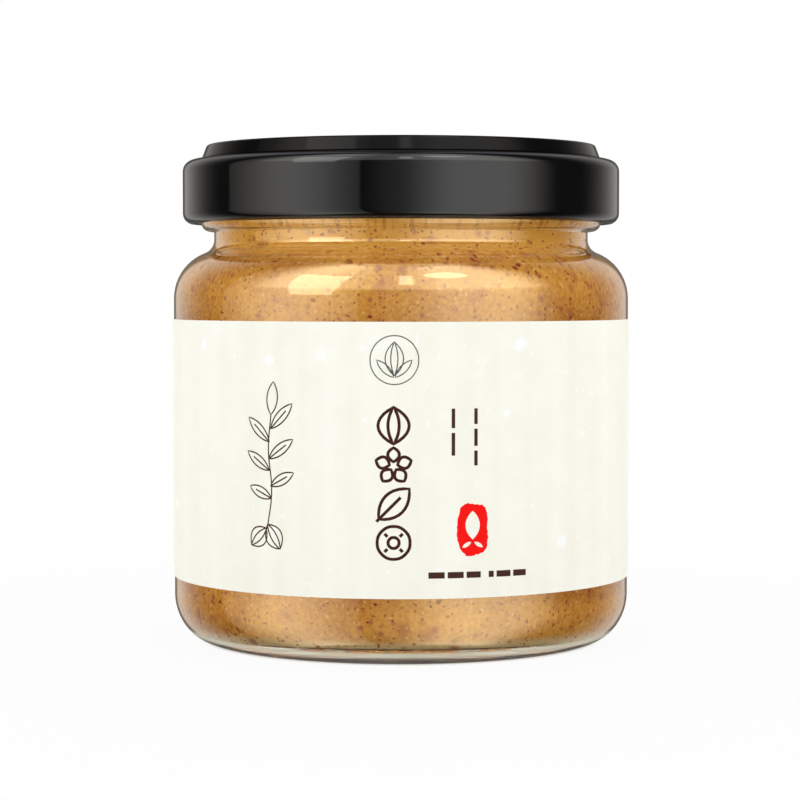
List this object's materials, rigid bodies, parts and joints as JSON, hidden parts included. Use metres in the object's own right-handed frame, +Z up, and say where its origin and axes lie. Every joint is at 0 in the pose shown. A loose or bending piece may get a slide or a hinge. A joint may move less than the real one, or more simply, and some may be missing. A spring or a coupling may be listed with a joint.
{
  "type": "almond butter jar",
  "caption": "Small round clear glass jar of speckled almond butter with a glossy black twist-off lid and a wrapped paper label.",
  "frame": {"origin": "middle of the circle that the jar stands on, on the resting plane", "axes": "+Z up along the jar's axis; -Y towards the middle of the label's front, +Y towards the gap between its two ends"},
  "size_m": [0.0632, 0.0631, 0.0684],
  "materials": {
    "clear_glass": "clear polished soda-lime glass",
    "butter": "ground almond butter, wet and speckled with skin",
    "black_lacquer": "glossy black lacquer on pressed tinplate",
    "seal_compound": "soft pale sealing compound",
    "label_paper": "uncoated cream paper with pale fibres"
  },
  "bodies": {
    "root": {"glass_jar": "clear_glass", "almond_butter": "butter", "lid": "black_lacquer", "seal": "seal_compound", "label": "label_paper"}
  },
  "joints": []
}
